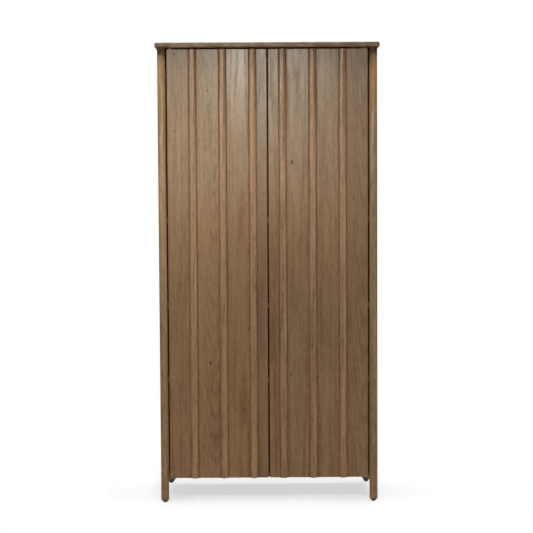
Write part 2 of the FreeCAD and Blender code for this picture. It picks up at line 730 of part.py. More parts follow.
def make_springs():
    """Return springs between the plungers and the ends of their bores."""
    coil = doc.addObject("Part::Helix", "spring_coil")
    bind(coil, "Pitch", f"spring_run / {SPRING_TURNS}")
    bind(coil, "Height", "spring_run")
    bind(coil, "Radius", "(spring_diameter - spring_wire) / 2")
    wire = doc.addObject("Part::Circle", "spring_wire_section")
    bind(wire, "Radius", "spring_wire / 2")
    move(wire, ("(spring_diameter - spring_wire) / 2", "0", "0"), "front")
    doc.recompute()
    master = doc.addObject("Part::Sweep", "spring")
    master.Sections = [wire]
    master.Spine = (coil, [f"Edge{index}" for index in range(1, len(coil.Shape.Edges) + 1)])
    master.Solid = True
    master.Frenet = True
    for side, sign in SIDES.items():
        at = (f"{sign} * latch_offset", "plunger_end_y + spring_wire / 2", "latch_z")
        node(copies(f"{side}_spring", master, [(at, "back")]), f"{side}_latch_spring")


def make_buffers():
    buffers = [rod(f"{side}_buffer", "front", "buffer_diameter / 2", "buffer_thickness",
                   (f"{sign} * buffer_offset", "carcass_front_y", "bottom_middle_z"))
               for side, sign in SIDES.items()]
    pair = doc.addObject("Part::Compound", "buffers")
    pair.Links = buffers
    node(pair, "door_buffers")


# Checks and files

def check_document():
    doc.recompute()
    broken = [each.Name for each in doc.Objects if {"Invalid", "Error"} & set(each.State)]
    broken += [each.Label for each in nodes if each.Shape.isNull() or not each.Shape.isValid()]
    if broken:
        raise RuntimeError(f"broken objects: {broken}")


def write_nodes():
    os.makedirs("parts", exist_ok=True)
    for each in nodes:
        each.Shape.exportStep(f"parts/{each.Label}.step")
        limits = each.Shape.BoundBox
        print(each.Label, len(each.Shape.Solids), f"{limits.XMin:.1f} {limits.XMax:.1f}",
              f"{limits.YMin:.1f} {limits.YMax:.1f}", f"{limits.ZMin:.1f} {limits.ZMax:.1f}")


fill_sheet("Sizes", {alias: str(value) for alias, value in SIZES.items()})
fill_sheet("Places", {alias: f"={formula(text)}" for alias, text in PLACES.items()})
doc.recompute()
make_top()
for post_end in ENDS:
    for post_side in SIDES:
        make_post(post_end, post_side)
make_glides()
make_bottom()
make_back()
for shelf_name in SHELVES:
    make_shelf(shelf_name)
make_shelf_pins()
make_dowels()
make_screws()
make_springs()
make_buffers()
for hand in SIDES:
    make_side(hand)
    make_door(hand)
    make_strike(hand)
    make_bushes(hand)
    make_upper_plate(hand)
    make_lower_plate(hand)
    make_pins(hand)
    make_latch(hand)
check_document()
write_nodes()
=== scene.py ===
import math

import bmesh
import bpy
from mathutils import Matrix, Vector


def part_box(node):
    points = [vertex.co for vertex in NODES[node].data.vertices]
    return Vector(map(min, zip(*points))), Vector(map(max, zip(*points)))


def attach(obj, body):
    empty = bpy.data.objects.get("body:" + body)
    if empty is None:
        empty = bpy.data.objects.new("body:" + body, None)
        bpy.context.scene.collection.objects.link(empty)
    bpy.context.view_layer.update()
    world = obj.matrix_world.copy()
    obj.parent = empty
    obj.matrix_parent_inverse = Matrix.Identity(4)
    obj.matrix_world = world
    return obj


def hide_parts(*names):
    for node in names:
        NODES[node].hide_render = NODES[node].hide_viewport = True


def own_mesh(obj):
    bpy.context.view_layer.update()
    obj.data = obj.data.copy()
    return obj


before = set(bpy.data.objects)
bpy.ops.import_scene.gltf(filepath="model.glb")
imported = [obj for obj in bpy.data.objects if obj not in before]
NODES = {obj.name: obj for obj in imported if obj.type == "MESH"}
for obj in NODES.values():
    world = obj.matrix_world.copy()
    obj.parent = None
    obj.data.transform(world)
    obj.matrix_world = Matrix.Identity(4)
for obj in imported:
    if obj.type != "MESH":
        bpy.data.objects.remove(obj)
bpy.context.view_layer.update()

SIDES = ("left", "right")
RIB_NAMES = ("inner", "middle", "outer")
SHELF_NAMES = ("lower", "middle", "upper")
DEPTH_AXIS = 1
HEIGHT_AXIS = 2

# Sizes in metres

RIB_PITCH = 0.130
RIB_HALF = 0.0165
RIB_END_EASE = 0.0012
TOP_CORNER = 0.014
TOP_EDGE = 0.005
DOOR_EDGE = 0.0015
SHELF_EDGE = 0.0012
POST_SPAN = (0.915, 0.395)
POST_CHAMFER = 0.007
POST_EASE = 0.0015
GLIDE_RADIUS = 0.009
GLIDE_HEIGHT = 0.005
GLIDE_EASE = 0.0012
GLIDE_RIM = 0.0005
SPRING_WIRE = 0.0009
WEAR_BAND = 0.006

# Numbers of steps in the meshes

EDGE_STEPS = 5
CORNER_STEPS = 8
POST_SEGMENTS = 56
GLIDE_SEGMENTS = 32
RIB_STEPS = 20
SPRING_TURNS = 7
SPRING_STEPS = 24
WIRE_SIDES = 8

# Forms of eased edges, in shares of a size

# Wear on a face beside its edge: share of the wear band, and how worn the face is there
WEAR_FADE = ((0.25, 0.6), (1.0, 0.0))
# Radius of a corner that is left where an inset would take it all up
LEAST_CORNER = 0.1
# Rings at the end of a rib: way from the end, inset and wear
RIB_ENDS = ((0.0, 1.0, 1.0), (0.4, 0.4, 1.0), (1.0, 0.0, 0.5), (6.0, 0.0, 0.0))
# How far the edges of a post's foot are eased across and upwards
POST_FOOT = (0.5, 0.6)
# Heights of a post's rings above its chamfer
POST_RINGS = (0.02, 0.25, 0.5, 0.75, 1.0)
# Rings at the lower rim of a glide: inset and height
GLIDE_FOOT = ((2.0, 0.0), (0.6, 0.3), (0.0, 1.0))

# Camera, fitted to the photograph

IMAGE_SIDE = 533
FOCAL_PIXELS = 1302.4
SENSOR_WIDTH = 36.0
CAMERA_PLACE = (-0.04244, -5.85997, 1.33386)
CAMERA_YAW = 0.3520
CAMERA_PITCH = 3.040
CAMERA_ROLL = -0.3142


# Mesh helpers

def finish_mesh(name, shell, wear):
    """Turns a bmesh into an object and stores how worn each vertex is."""
    bmesh.ops.recalc_face_normals(shell, faces=shell.faces)
    mesh = bpy.data.meshes.new(name)
    shell.to_mesh(mesh)
    shell.free()
    mesh.attributes.new("wear", "FLOAT", "POINT")
    mesh.attributes["wear"].data.foreach_set("value", wear)
    mesh.shade_smooth()
    piece = bpy.data.objects.new(name, mesh)
    bpy.context.scene.collection.objects.link(piece)
    return piece


def loft(name, rings):
    """Skins a stack of rings, each a list of points and one wear value, and closes both ends."""
    shell = bmesh.new()
    wear = []
    loops = []
    for points, worn in rings:
        loops.append([shell.verts.new(point) for point in points])
        wear.extend([worn] * len(points))
    for lower, upper in zip(loops, loops[1:]):
        count = len(lower)
        for index in range(count):
            after = (index + 1) % count
            shell.faces.new((lower[index], lower[after], upper[after], upper[index]))
    shell.faces.new(list(reversed(loops[0])))
    shell.faces.new(loops[-1])
    return finish_mesh(name, shell, wear)


def rounded_outline(half_a, half_b, radius):
    """A rectangle with rounded corners about the origin, counter-clockwise."""
    corners = ((1, 1), (-1, 1), (-1, -1), (1, -1))
    points = []
    for quarter, (sign_a, sign_b) in enumerate(corners):
        for step in range(CORNER_STEPS + 1):
            angle = (quarter + step / CORNER_STEPS) * math.pi / 2
            a = sign_a * (half_a - radius) + radius * math.cos(angle)
            b = sign_b * (half_b - radius) + radius * math.sin(angle)
            points.append((a, b))
    return points


def edge_rings(thickness, edge):
    """Inset, height and wear of each ring of a slab, from its lower face to its upper face."""
    half = thickness / 2
    upper = [(0.0, half - edge, 1.0)]
    for step in range(1, EDGE_STEPS + 1):
        angle = step / EDGE_STEPS * math.pi / 2
        upper.append((edge - edge * math.cos(angle), half - edge + edge * math.sin(angle), 1.0))
    for share, worn in WEAR_FADE:
        upper.append((edge + share * WEAR_BAND, half, worn))
    lower = [(inset, -height, worn) for inset, height, worn in reversed(upper)]
    return lower + upper


def slab(name, node, thin, corner, edge):
    """A board in a node's box with rounded edges; thin is the axis across its thickness."""
    low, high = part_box(node)
    middle = (low + high) / 2
    axis_a, axis_b = [axis for axis in range(3) if axis != thin]
    half_a = (high[axis_a] - low[axis_a]) / 2
    half_b = (high[axis_b] - low[axis_b]) / 2
    rings = []
    for inset, height, worn in edge_rings(high[thin] - low[thin], edge):
        radius = max(corner - inset, corner * LEAST_CORNER)
        points = []
        for a, b in rounded_outline(half_a - inset, half_b - inset, radius):
            point = Vector(middle)
            point[axis_a] += a
            point[axis_b] += b
            point[thin] += height
            points.append(point)
        rings.append((points, worn))
    return loft(name, rings)


def turned(name, centre, profile, segments):
    """An unworn lathe piece about an upright axis; profile holds radius and height."""
    rings = []
    for radius, height in profile:
        points = []
        for index in range(segments):
            angle = index / segments * 2 * math.pi
            x = centre[0] + radius * math.cos(angle)
            y = centre[1] + radius * math.sin(angle)
            points.append((x, y, height))
        rings.append((points, 0.0))
    return loft(name, rings)


def joined(name, pieces):
    """Joins pieces into the first one."""
    with bpy.context.temp_override(active_object=pieces[0], selected_editable_objects=pieces):
        bpy.ops.object.join()
    pieces[0].name = name
    return pieces[0]


def dress(piece, body, material, slot, *nodes):
    """Gives a finished piece its material and body, and hides the nodes it stands for; slot is not used."""
    piece.data.materials.append(material)
    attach(piece, body)
    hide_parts(*nodes)


# Shader helpers

WHITE = (1.0, 1.0, 1.0, 1.0)
CENTRE = (0.5, 0.5, 0.5)


def paint(red, green, blue):
    """An sRGB colour, each part from 0 to 255, as linear RGBA."""
    linear = []
    for value in (red, green, blue):
        share = value / 255
        linear.append(share / 12.92 if share <= 0.04045 else ((share + 0.055) / 1.055) ** 2.4)
    return (*linear, 1.0)


def plug(tree, socket, value):
    """Links another node's socket to a socket, or sets the socket to a plain value."""
    if isinstance(value, bpy.types.NodeSocket):
        tree.links.new(value, socket)
    else:
        socket.default_value = value


def add(tree, kind, inputs=None, **settings):
    """A new node with its settings and inputs."""
    node = tree.nodes.new(kind)
    for key, value in settings.items():
        setattr(node, key, value)
    for key, value in (inputs or {}).items():
        plug(tree, node.inputs[key], value)
    return node


def calc(tree, operation, first, second=0.0, third=0.0):
    """One Math node."""
    node = add(tree, "ShaderNodeMath", {0: first, 1: second, 2: third}, operation=operation)
    return node.outputs[0]


def centred(tree, value):
    """A value between 0 and 1, counted from its middle."""
    return calc(tree, "SUBTRACT", value, 0.5)


def vector(tree, operation, first, second=(0.0, 0.0, 0.0)):
    """One Vector Math node."""
    node = add(tree, "ShaderNodeVectorMath", {0: first, 1: second}, operation=operation)
    return node.outputs["Value" if operation == "LENGTH" else "Vector"]


def ramp(tree, value, from_low, from_high, to_low=0.0, to_high=1.0):
    """Maps a range to another one smoothly and holds it outside."""
    inputs = {"Value": value, "From Min": from_low, "From Max": from_high}
    inputs.update({"To Min": to_low, "To Max": to_high})
    return add(tree, "ShaderNodeMapRange", inputs, interpolation_type="SMOOTHSTEP").outputs["Result"]


def noise(tree, place, stretch, detail=2.0, output="Fac"):
    """Noise between 0 and 1 with its own frequency on each axis."""
    inputs = {"Vector": vector(tree, "MULTIPLY", place, stretch), "Scale": 1.0, "Detail": detail}
    return add(tree, "ShaderNodeTexNoise", inputs).outputs[output]


def blend(tree, factor, first, second):
    """Mixes two colours: a Mix node has its colours on inputs 6 and 7 and on output 2."""
    node = add(tree, "ShaderNodeMix", data_type="RGBA")
    plug(tree, node.inputs[0], factor)
    plug(tree, node.inputs[6], first)
    plug(tree, node.inputs[7], second)
    return node.outputs[2]


def split(tree, value):
    """The three parts of a vector."""
    return add(tree, "ShaderNodeSeparateXYZ", {0: value}).outputs


def pack(tree, x, y, z):
    """A vector from three parts."""
    return add(tree, "ShaderNodeCombineXYZ", {0: x, 1: y, 2: z}).outputs[0]


def own_place(tree):
    """The piece's own coordinates, which are those of the frame at rest."""
    return add(tree, "ShaderNodeTexCoord").outputs["Object"]


def new_material(name):
    """An empty node material."""
    material = bpy.data.materials.new(name)
    material.use_nodes = True
    material.node_tree.nodes.clear()
    return material


def close_material(material, color, roughness, height, bump_distance, bump_strength, **constants):
    """Ends a material in one shader with bump; constants go on the shader's own sockets."""
    tree = material.node_tree
    bump = add(tree, "ShaderNodeBump",
               {"Height": height, "Distance": bump_distance, "Strength": bump_strength})
    shader = add(tree, "ShaderNodeBsdfPrincipled",
                 {"Base Color": color, "Roughness": roughness, "Normal": bump.outputs[0]})
    for key, value in constants.items():
        shader.inputs[key.replace("_", " ")].default_value = value
    add(tree, "ShaderNodeOutputMaterial", {"Surface": shader.outputs[0]})
    return material


# Oak: its fields, colours and weights

# Fields of the grain: repeats in a metre across, in depth and along the board, and detail
GRAIN = {
    "streak": ((75.0, 75.0, 5.0), 3.0),
    "mottle": ((150.0, 150.0, 28.0), 2.0),
    "fibre": ((800.0, 800.0, 16.0), 2.0),
    "blotch": ((9.0, 9.0, 1.6), 3.0),
    "fleck": ((150.0, 60.0, 45.0), 1.0),
    "pore": ((1500.0, 1500.0, 60.0), 1.0),
}
# Fields that make the tone of the wood, and how far the weight of the rings lifts it again
TONE_FIELDS = ("streak", "fibre", "blotch", "mottle")
RING_LIFT = 0.4
# Where flecks and pores rise out of their noise, and the share of pores that only early wood has
FLECK_CUT = (0.58, 0.72)
PORE_CUT = (0.56, 0.68)
PORES_IN_EARLY_WOOD = 0.7

# Yearly rings: how the trunk wavers, how its middle moves from board to board, and the share of early wood
RING_WARP = (7.0, 7.0, 0.7)
WARP_ACROSS = 0.018
WARP_DEPTH = 0.012
PITH_SPREAD = 0.06
EARLY_WOOD = 0.55

# Boards differ by where they are cut out of the noise
SEED_SKEW = 1.7
SEED_DRIFT = (3.7, 5.3, 0.0)

# Knots: width to length, and in shares of their size the swelling's reach and rise and the heart's fade
KNOT_WIDTH = 0.6
SWELL_REACH = 7
SWELL_RISE = 4
HEART_FADE = (0.3, 1.6)

# Pores, hearts of knots and worn edges, then roughness and bump of the grain
PORE_PAINT = paint(60, 32, 8)
PORE_WEIGHT = 0.45
HEART_PAINT = paint(44, 28, 17)
HEART_WEIGHT = 0.7
WORN_PAINT = paint(176, 148, 116)
WORN_PATCHES = (60.0, 60.0, 25.0)
WORN_CUT = (0.35, 0.7)
FIBRE_ROUGHNESS = 0.14
PORE_ROUGHNESS = 0.2
DULL_ROUGHNESS = 0.7
GRAIN_DEPTH = 0.0002
GRAIN_STRENGTH = 0.6

# Painted shade by the ribs, on the doors' upright edges and at the posts' feet: colours, reach in metres and
# strength

SHADE_PAINT = paint(70, 37, 10)
DOOR_REACH = 0.0045
DOOR_STRENGTH = 0.55
FRONT_FADE = (0.001, 0.004)
EDGE_FADE = (0.0004, 0.0024)
EDGE_STRENGTH = 0.6
RIB_FADE = (0.008, 0.001)
RIB_STRENGTH = 0.7
RIB_UNEVEN = 0.008
RIB_UNEVEN_GRAIN = (10.0, 10.0, 45.0)
# Painted shade at the posts' feet
FOOT_SHADE_PAINT = paint(38, 27, 18)
FOOT_SHADE_FADE = (0.006, 0.017)
FOOT_SHADE_STRENGTH = 0.9

# Length of a cell that is longer than any piece, so that no joint of boards shows that way
WHOLE = 10.0


def palette(dark, middle, light):
    """The three colours of an oak, from dark to light wood."""
    return {"dark": paint(*dark), "middle": paint(*middle), "light": paint(*light)}


# The usual oak: order holds the axes across, in depth and along the grain; cell, shift and seed part a piece
# into boards; leans, tones and glosses are for boards of certain numbers; lengths are in metres
OAK = {
    "order": "xyz",
    "cell": (WHOLE, WHOLE, WHOLE),
    "shift": 0.5,
    "seed": 0.0,
    **palette((97, 60, 18), (132, 98, 61), (153, 121, 87)),
    "pith_depth": 0.03,
    "pith_range": 0.10,
    "tilt": 0.10,
    "leans": {},
    "tones": {},
    "glosses": {},
    "ring": 0.0042,
    "ring_weight": 0.10,
    "streak_weight": 0.72,
    "fibre_weight": 0.45,
    "blotch_weight": 0.50,
    "mottle_weight": 0.65,
    "fleck_weight": 0.125,
    "tone_weight": 0.18,
    "gloss_tone": 0.28,
    "roughness": 0.38,
    "specular": 0.5,
    "wear_weight": 0.35,
}

# What sets the oak of each piece apart

SIDE_OAK = {"order": "yxz", "cell": (0.13, WHOLE, WHOLE), "seed": 3.0}
BOTTOM_OAK = {"order": "yzx", "cell": (0.12, WHOLE, WHOLE), "seed": 5.0}
BACK_OAK = {"cell": (0.15, WHOLE, WHOLE), "seed": 7.0, "roughness": 0.6}
TOP_OAK = {
    "order": "yzx",
    "cell": (0.15, WHOLE, WHOLE),
    "seed": 11.0,
    **palette((80, 48, 18), (108, 78, 50), (125, 96, 70)),
    "specular": 0.43,
    "roughness": 0.55,
}
POST_OAK = {
    "cell": (*POST_SPAN, WHOLE),
    "shift": 0.0,
    "seed": 17.0,
    **palette((104, 68, 26), (144, 112, 75), (167, 137, 103)),
    # The right-hand posts, number 0, are painted darker: painted shade
    "tones": {0: 0.93},
}
RIB_OAK = {
    "cell": (RIB_PITCH, WHOLE, WHOLE),
    "shift": 0.0,
    "seed": 29.0,
    **palette((107, 66, 25), (150, 113, 78), (173, 138, 106)),
    "tones": {0: 0.96, 1: 0.94},
    "streak_weight": 0.9,
    "fibre_weight": 0.7,
    "mottle_weight": 0.85,
    "fleck_weight": 0.3,
    "specular": 0.43,
    "roughness": 0.30,
}
DOOR_OAK = {
    "cell": (RIB_PITCH, WHOLE, WHOLE),
    "tilt": 0.012,
    "ring": 0.0055,
    "ring_weight": 0.16,
    "tone_weight": 0.0,
    "specular": 0.6,
    "wear_weight": 0.1,
}
# Shelves painted far paler than the other oak: painted light for their front edges seen through the gaps
SHELF_OAK_PAINTED_LIGHT = {
    "order": "yzx",
    "cell": (0.12, 0.33, WHOLE),
    "seed": 53.0,
    **palette((158, 128, 94), (200, 172, 138), (216, 192, 160)),
}
DOWEL_WOOD = {
    **palette((168, 128, 88), (206, 170, 126), (222, 190, 150)),
    "fibre_weight": 0.3,
    "ring_weight": 0.05,
}

# Boards of each door by their number, and knots by their place across and up and their size

DOOR_BOARDS = {
    "left": {
        "seed": 40.0,
        "leans": {-2: 0.06},
        "tones": {-3: 1.05, -2: 1.09, -1: 1.07, 0: 0.93},
        "glosses": {-1: 0.05, 0: 0.06},
    },
    "right": {
        "seed": 42.0,
        "leans": {3: 0.04},
        "tones": {0: 0.95, 1: 0.99, 2: 1.0, 3: 0.95},
    },
}
DOOR_KNOTS = {
    "left": ((-0.402, 1.953, 0.003), (-0.381, 1.896, 0.003), (-0.404, 1.621, 0.003), (-0.378, 0.958, 0.003),
             (-0.258, 1.905, 0.002), (-0.258, 1.796, 0.003), (-0.256, 1.735, 0.002), (-0.255, 0.613, 0.005),
             (-0.081, 1.098, 0.006), (-0.083, 0.762, 0.005)),
    "right": ((0.105, 1.486, 0.005), (0.385, 1.071, 0.003), (0.096, 0.559, 0.004), (0.213, 0.552, 0.003)),
}


# Oak: its nodes

def grain_place(tree, order):
    """The piece's own coordinates in the order across, depth, along the grain."""
    axes = dict(zip("xyz", split(tree, own_place(tree))))
    return pack(tree, *[axes[letter] for letter in order])


def board_cells(tree, place, look):
    """Splits a piece into boards: the place inside each, its number, its seed and three random values."""
    steps = vector(tree, "ADD", vector(tree, "DIVIDE", place, look["cell"]), (look["shift"],) * 3)
    number = vector(tree, "FLOOR", steps)
    share = vector(tree, "SUBTRACT", vector(tree, "FRACTION", steps), CENTRE)
    inside = vector(tree, "MULTIPLY", share, look["cell"])
    seeded = vector(tree, "ADD", number, (look["seed"], look["seed"] * SEED_SKEW, 0.0))
    chance = add(tree, "ShaderNodeTexWhiteNoise", {"Vector": seeded}).outputs["Color"]
    return inside, split(tree, number)[0], seeded, chance


def per_board(tree, board, values, usual):
    """A value that boards of certain numbers have, or the usual one."""
    result = usual
    for number, value in values.items():
        here = calc(tree, "COMPARE", board, number, 0.5)
        result = calc(tree, "MULTIPLY_ADD", here, value - usual, result)
    return result


def growth_rings(tree, place, inside, board, chance, swirl, look):
    """Early wood of the yearly rings, as a leaning trunk cut by the board shows them."""
    warp = split(tree, vector(tree, "SUBTRACT", noise(tree, place, RING_WARP, output="Color"), CENTRE))
    spot = split(tree, inside)
    luck = split(tree, chance)
    along = split(tree, place)[2]
    across = calc(tree, "MULTIPLY_ADD", centred(tree, luck[0]), PITH_SPREAD, spot[0])
    across = calc(tree, "MULTIPLY_ADD", warp[0], WARP_ACROSS, across)
    lean = per_board(tree, board, look["leans"], 0.0)
    lean = calc(tree, "MULTIPLY_ADD", centred(tree, luck[2]), look["tilt"], lean)
    depth = calc(tree, "MULTIPLY_ADD", luck[1], look["pith_range"], look["pith_depth"])
    depth = calc(tree, "ADD", depth, spot[1])
    depth = calc(tree, "MULTIPLY_ADD", lean, along, depth)
    depth = calc(tree, "MULTIPLY_ADD", warp[1], WARP_DEPTH, depth)
    radius = vector(tree, "LENGTH", pack(tree, across, depth, 0.0))
    radius = calc(tree, "ADD", radius, swirl)
    phase = calc(tree, "FRACT", calc(tree, "DIVIDE", radius, look["ring"]))
    return ramp(tree, phase, 0.0, EARLY_WOOD, 1.0, 0.0)


def knot_fields(tree, place, knots):
    """How the grain swells round the knots, and their dark hearts."""
    spot = split(tree, place)
    swirl = 0.0
    heart = 0.0
    for across, along, size in knots:
        side = calc(tree, "SUBTRACT", spot[0], across)
        length = calc(tree, "MULTIPLY", calc(tree, "SUBTRACT", spot[2], along), KNOT_WIDTH)
        distance = vector(tree, "LENGTH", pack(tree, side, length, 0.0))
        swell = ramp(tree, distance, 0.0, SWELL_REACH * size, SWELL_RISE * size, 0.0)
        dark = ramp(tree, distance, HEART_FADE[0] * size, HEART_FADE[1] * size, 1.0, 0.0)
        swirl = calc(tree, "ADD", swirl, swell)
        heart = calc(tree, "ADD", heart, dark)
    return swirl, heart


def grain_fields(tree, place, early):
    """The fields of the grain; flecks and pores are cut out of noise, and most pores lie in early wood."""
    fields = {kind: noise(tree, place, stretch, detail) for kind, (stretch, detail) in GRAIN.items()}
    fields["fleck"] = ramp(tree, fields["fleck"], *FLECK_CUT)
    share = calc(tree, "MULTIPLY_ADD", early, PORES_IN_EARLY_WOOD, 1.0 - PORES_IN_EARLY_WOOD)
    fields["pore"] = calc(tree, "MULTIPLY", ramp(tree, fields["pore"], *PORE_CUT), share)
    return fields


def oak_tone(tree, fields, early, chance, look):
    """How light the wood is: 0 is dark, 1 is light."""
    rings = look["ring_weight"]
    tone = calc(tree, "MULTIPLY_ADD", early, -rings, 0.5 + RING_LIFT * rings)
    for kind in TONE_FIELDS:
        tone = calc(tree, "MULTIPLY_ADD", centred(tree, fields[kind]), look[f"{kind}_weight"], tone)
    tone = calc(tree, "MULTIPLY_ADD", fields["fleck"], look["fleck_weight"], tone)
    luck = centred(tree, split(tree, chance)[1])
    return calc(tree, "MULTIPLY_ADD", luck, look["tone_weight"], tone)


def oak_color(tree, tone, board, look):
    """The colour of a tone, lighter or darker on boards of certain numbers."""
    colors = add(tree, "ShaderNodeValToRGB", {"Fac": tone})
    stops = colors.color_ramp.elements
    stops[0].color = look["dark"]
    stops[1].color = look["light"]
    stops.new(0.5).color = look["middle"]
    level = per_board(tree, board, look["tones"], 1.0)
    return vector(tree, "MULTIPLY", colors.outputs["Color"], pack(tree, level, level, level))


def worn_color(tree, place, color, look):
    """Paler wood, in patches, where the mesh says that the piece is worn."""
    wear = add(tree, "ShaderNodeAttribute", attribute_name="wear").outputs["Fac"]
    patchy = ramp(tree, noise(tree, place, WORN_PATCHES), *WORN_CUT)
    worn = calc(tree, "MULTIPLY", calc(tree, "MULTIPLY", wear, patchy), look["wear_weight"])
    return blend(tree, worn, color, WORN_PAINT)


def oak_roughness(tree, fields, tone, dull, board, look):
    """Light wood shines more than dark wood; pores, hearts of knots and painted shade shine least."""
    usual = look["roughness"] - FIBRE_ROUGHNESS / 2
    rough = calc(tree, "MULTIPLY_ADD", fields["fibre"], FIBRE_ROUGHNESS, usual)
    rough = calc(tree, "MULTIPLY_ADD", calc(tree, "SUBTRACT", 0.5, tone), look["gloss_tone"], rough)
    rough = calc(tree, "MULTIPLY_ADD", fields["pore"], PORE_ROUGHNESS, rough)
    rough = calc(tree, "MULTIPLY_ADD", dull, DULL_ROUGHNESS, rough)
    return calc(tree, "SUBTRACT", rough, per_board(tree, board, look["glosses"], 0.0))


def oak(name, knots=(), shade=None, **changes):
    """Stained oak: rings, streaks, fibres, pores, flecks, board tones, knots and worn edges."""
    look = {**OAK, **changes}
    material = new_material(name)
    tree = material.node_tree
    place = grain_place(tree, look["order"])
    inside, board, seed, chance = board_cells(tree, place, look)
    drift = vector(tree, "ADD", place, vector(tree, "MULTIPLY", seed, SEED_DRIFT))
    swirl, dull = knot_fields(tree, place, knots)
    early = growth_rings(tree, drift, inside, board, chance, swirl, look)
    fields = grain_fields(tree, drift, early)
    tone = oak_tone(tree, fields, early, chance, look)
    color = oak_color(tree, tone, board, look)
    color = blend(tree, calc(tree, "MULTIPLY", fields["pore"], PORE_WEIGHT), color, PORE_PAINT)
    color = blend(tree, calc(tree, "MULTIPLY", dull, HEART_WEIGHT), color, HEART_PAINT)
    # Painted shade from the piece's shade function, which also makes the wood shine less there
    if shade is not None:
        color, painted_shade = shade(tree, place, color)
        dull = calc(tree, "ADD", dull, painted_shade)
    color = worn_color(tree, place, color, look)
    rough = oak_roughness(tree, fields, tone, dull, board, look)
    height = calc(tree, "SUBTRACT", fields["fibre"], fields["pore"])
    return close_material(material, color, rough, height, GRAIN_DEPTH, GRAIN_STRENGTH,
                          Specular_IOR_Level=look["specular"])


def door_shade(tree, place, color):
    """Painted shade on the door's front face along both feet of each rib, and on its upright edges beside
    the gaps.
    """
    spot = split(tree, place)
    low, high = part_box("right_door_panel")
    steps = calc(tree, "FRACT", calc(tree, "DIVIDE", spot[0], RIB_PITCH))
    distance = calc(tree, "MULTIPLY", calc(tree, "ABSOLUTE", centred(tree, steps)), RIB_PITCH)
    feet = ramp(tree, distance, RIB_HALF, RIB_HALF + DOOR_REACH, DOOR_STRENGTH, 0.0)
    front = ramp(tree, spot[1], low.y + FRONT_FADE[0], low.y + FRONT_FADE[1], 1.0, 0.0)
    inner = calc(tree, "SUBTRACT", calc(tree, "ABSOLUTE", spot[0]), low.x)
    outer = calc(tree, "SUBTRACT", high.x - low.x, inner)
    edges = ramp(tree, calc(tree, "MINIMUM", inner, outer), *EDGE_FADE, EDGE_STRENGTH, 0.0)
    dark = calc(tree, "MAXIMUM", calc(tree, "MULTIPLY", feet, front), edges)
    return blend(tree, dark, color, SHADE_PAINT), dark


def rib_foot_shade(tree, place, color):
    """Painted shade on the rib where it meets the door."""
    door_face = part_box("left_door_panel")[0].y
    uneven = centred(tree, noise(tree, place, RIB_UNEVEN_GRAIN))
    depth = calc(tree, "MULTIPLY_ADD", uneven, RIB_UNEVEN, split(tree, place)[1])
    dark = ramp(tree, depth, door_face - RIB_FADE[0], door_face - RIB_FADE[1], 0.0, RIB_STRENGTH)
    return blend(tree, dark, color, SHADE_PAINT), dark


def foot_shade(tree, place, color):
    """Painted shade on the foot of a post, just above the floor."""
    dark = ramp(tree, split(tree, place)[2], *FOOT_SHADE_FADE, FOOT_SHADE_STRENGTH, 0.0)
    return blend(tree, dark, color, FOOT_SHADE_PAINT), dark


# Metals and plastics

# Speckle and clouds of each finish, how they are mixed, what they add to its roughness, and their bump
SPECKLE_DETAIL = 3.0
BROAD_GRAIN = (40.0, 40.0, 40.0)
MIX_CUT = (0.3, 0.7)
UNEVEN_ROUGHNESS = 0.25
ROUGHNESS_BACK = 0.12
SPECKLE_DEPTH = 0.0001
SPECKLE_STRENGTH = 0.4

# Two close colours, the roughness between them and how often the speckle repeats in a metre
FINISHES = {
    "steel": {"base": paint(150, 150, 152), "other": paint(186, 186, 188), "roughness": 0.34,
              "grain": (900.0, 900.0, 180.0), "Metallic": 1.0},
    "black_steel": {"base": paint(24, 24, 25), "other": paint(38, 38, 39), "roughness": 0.52,
                    "grain": (2600.0, 2600.0, 2600.0)},
    "nylon": {"base": paint(206, 203, 194), "other": paint(224, 222, 214), "roughness": 0.5,
              "grain": (1400.0, 1400.0, 1400.0)},
    "glide_plastic": {"base": paint(17, 17, 17), "other": paint(34, 33, 32), "roughness": 0.55,
                      "grain": (1800.0, 1800.0, 1800.0)},
    "latch_plastic": {"base": paint(46, 46, 47), "other": paint(62, 62, 63), "roughness": 0.5,
                      "grain": (2200.0, 2200.0, 2200.0)},
    "plunger_plastic": {"base": paint(126, 126, 126), "other": paint(146, 146, 145), "roughness": 0.48,
                        "grain": (2200.0, 2200.0, 2200.0)},
    "buffer_rubber": {"base": paint(28, 28, 28), "other": paint(48, 47, 46), "roughness": 0.75,
                      "grain": (1500.0, 1500.0, 1500.0)},
}


def both(name):
    """A node's name on the left and on the right."""
    return tuple(f"{side}_{name}" for side in SIDES)


FINISH_NODES = {
    "dowel_wood": ("post_dowels", "side_dowels", "bottom_dowels"),
    "steel": ("shelf_pins", "upper_pivot_screws", "lower_pivot_screws", "latch_screws", "back_panel_screws",
              *both("strike_plate"), *both("strike_screw"),
              *both("upper_pivot_pin"), *both("lower_pivot_pin")),
    "black_steel": (*both("upper_pivot_plate"), *both("lower_pivot_plate")),
    "nylon": (*both("upper_bush"), *both("lower_bush")),
    "latch_plastic": both("latch_housing"),
    "plunger_plastic": both("latch_plunger"),
    "buffer_rubber": ("door_buffers",),
}


